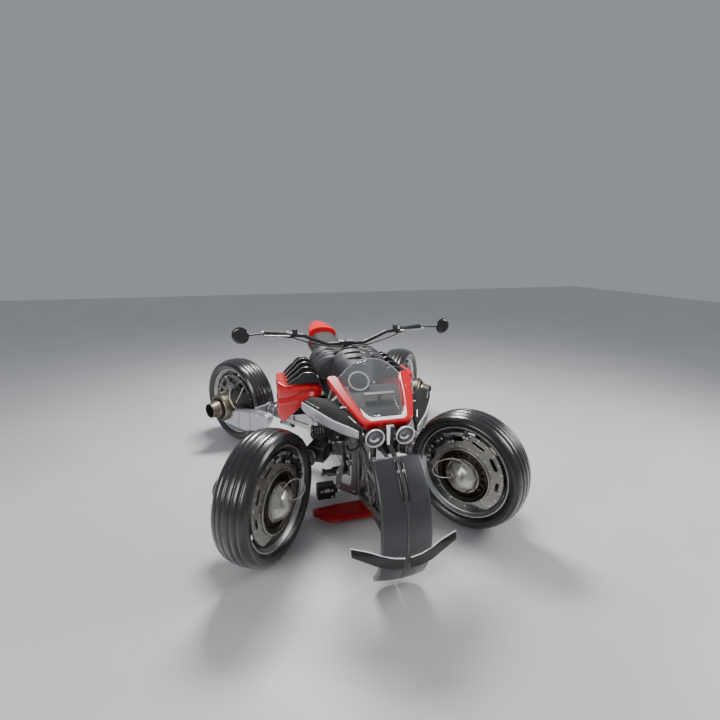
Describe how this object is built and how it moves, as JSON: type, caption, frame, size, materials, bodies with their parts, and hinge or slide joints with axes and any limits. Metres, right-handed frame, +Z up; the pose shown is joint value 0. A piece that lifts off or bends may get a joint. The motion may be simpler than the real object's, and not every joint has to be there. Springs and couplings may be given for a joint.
{
  "type": "flying motorcycle with four hub turbines on swing-out arms",
  "caption": "Flying motorcycle standing on hub-turbine wheels held by swing-out arms, with twin round lamps, red nose cowl and split front fender.",
  "frame": {"origin": "on the floor under the middle of the whole box, on the centre plane", "axes": "+Z up, -Y forward, +X to the rider's left"},
  "size_m": [1.7818, 2.2113, 1.022],
  "materials": {
    "tyre_rubber": "satin",
    "black_coat": "satin",
    "black_gloss": "gloss",
    "black_matt": "matte",
    "red_gloss": "gloss",
    "silver_band": "gloss",
    "machined_alloy": "machined",
    "casing_silver": "satin",
    "turbine_gold": "brushed",
    "steel": "brushed",
    "smoke_clear": "clear",
    "lens": "clear",
    "lamp_red": "gloss",
    "seat_cover": "matte",
    "grip_rubber": "matte"
  },
  "bodies": {
    "root": {"frame": "machined_alloy", "cross_members": "steel", "hinge_brackets": "steel", "energy_block": "black_coat", "bulkhead": "machined_alloy", "nose_keel": "machined_alloy", "front_fender": "black_coat", "fender_fins": "black_gloss", "belly_pan": "red_gloss", "front_units": "black_coat", "upper_frame": "black_coat", "body_shell": "black_matt", "cowl": "red_gloss", "windscreen": "smoke_clear", "instruments": "black_matt", "headlamps": "silver_band", "headlamp_lenses": "lens", "lamp_bracket": "machined_alloy", "winglets": "black_gloss", "winglet_bands": "silver_band", "side_covers": "red_gloss", "intake_fins": "black_gloss", "seat": "seat_cover", "tail": "red_gloss", "tail_lamp": "lamp_red", "foot_pegs": "machined_alloy"},
    "steering": {"handlebar": "black_coat", "grips": "grip_rubber", "mirrors": "black_coat", "levers": "machined_alloy", "bar_cables": "black_matt"},
    "arm_front_left": {"arm_front_left": "machined_alloy"},
    "carrier_front_left": {"carrier_front_left": "casing_silver", "hub_plate_front_left": "machined_alloy", "turbine_front_left": "turbine_gold"},
    "wheel_front_left": {"rim_front_left": "machined_alloy", "tyre_front_left": "tyre_rubber"},
    "arm_front_right": {"arm_front_right": "machined_alloy"},
    "carrier_front_right": {"carrier_front_right": "casing_silver", "hub_plate_front_right": "machined_alloy", "turbine_front_right": "turbine_gold"},
    "wheel_front_right": {"rim_front_right": "machined_alloy", "tyre_front_right": "tyre_rubber"},
    "arm_rear_left": {"arm_rear_left": "machined_alloy"},
    "carrier_rear_left": {"carrier_rear_left": "casing_silver", "hub_plate_rear_left": "machined_alloy", "turbine_rear_left": "turbine_gold"},
    "wheel_rear_left": {"rim_rear_left": "machined_alloy", "tyre_rear_left": "tyre_rubber"},
    "arm_rear_right": {"arm_rear_right": "machined_alloy"},
    "carrier_rear_right": {"carrier_rear_right": "casing_silver", "hub_plate_rear_right": "machined_alloy", "turbine_rear_right": "turbine_gold"},
    "wheel_rear_right": {"rim_rear_right": "machined_alloy", "tyre_rear_right": "tyre_rubber"}
  },
  "joints": [
    {"name": "steering", "type": "hinge", "parent": "root", "child": "steering", "pos_m": [0, -0.0104, 0.89], "axis": [0, 0, 1], "range_deg": [-30, 30]},
    {"name": "arm_swing_front_left", "type": "hinge", "parent": "root", "child": "arm_front_left", "pos_m": [0.145, -0.08927, 0.315], "axis": [0, 0, 1], "range_deg": [-35.5, 9.5]},
    {"name": "wheel_tilt_front_left", "type": "hinge", "parent": "arm_front_left", "child": "carrier_front_left", "pos_m": [0.521, -0.6164, 0.315], "axis": [-0.5807, 0.8141, 0], "range_deg": [0, 90]},
    {"name": "wheel_spin_front_left", "type": "hinge", "parent": "carrier_front_left", "child": "wheel_front_left", "pos_m": [0.521, -0.6164, 0.315], "axis": [0.8141, 0.5807, 0], "continuous": true},
    {"name": "arm_swing_front_right", "type": "hinge", "parent": "root", "child": "arm_front_right", "pos_m": [-0.145, -0.08927, 0.315], "axis": [0, 0, -1], "range_deg": [-35.5, 9.5]},
    {"name": "wheel_tilt_front_right", "type": "hinge", "parent": "arm_front_right", "child": "carrier_front_right", "pos_m": [-0.521, -0.6164, 0.315], "axis": [-0.5807, -0.8141, 0], "range_deg": [0, 90]},
    {"name": "wheel_spin_front_right", "type": "hinge", "parent": "carrier_front_right", "child": "wheel_front_right", "pos_m": [-0.521, -0.6164, 0.315], "axis": [-0.8141, 0.5807, 0], "continuous": true},
    {"name": "arm_swing_rear_left", "type": "hinge", "parent": "root", "child": "arm_rear_left", "pos_m": [0.145, 0.16271, 0.315], "axis": [0, 0, -1], "range_deg": [-37, 8]},
    {"name": "wheel_tilt_rear_left", "type": "hinge", "parent": "arm_rear_left", "child": "carrier_rear_left", "pos_m": [0.64, 0.8196, 0.315], "axis": [0.6018, 0.7986, 0], "range_deg": [0, 90]},
    {"name": "wheel_spin_rear_left", "type": "hinge", "parent": "carrier_rear_left", "child": "wheel_rear_left", "pos_m": [0.64, 0.8196, 0.315], "axis": [0.7986, -0.6018, 0], "continuous": true},
    {"name": "arm_swing_rear_right", "type": "hinge", "parent": "root", "child": "arm_rear_right", "pos_m": [-0.145, 0.16271, 0.315], "axis": [0, 0, 1], "range_deg": [-37, 8]},
    {"name": "wheel_tilt_rear_right", "type": "hinge", "parent": "arm_rear_right", "child": "carrier_rear_right", "pos_m": [-0.64, 0.8196, 0.315], "axis": [0.6018, -0.7986, 0], "range_deg": [0, 90]},
    {"name": "wheel_spin_rear_right", "type": "hinge", "parent": "carrier_rear_right", "child": "wheel_rear_right", "pos_m": [-0.64, 0.8196, 0.315], "axis": [-0.7986, -0.6018, 0], "continuous": true}
  ]
}
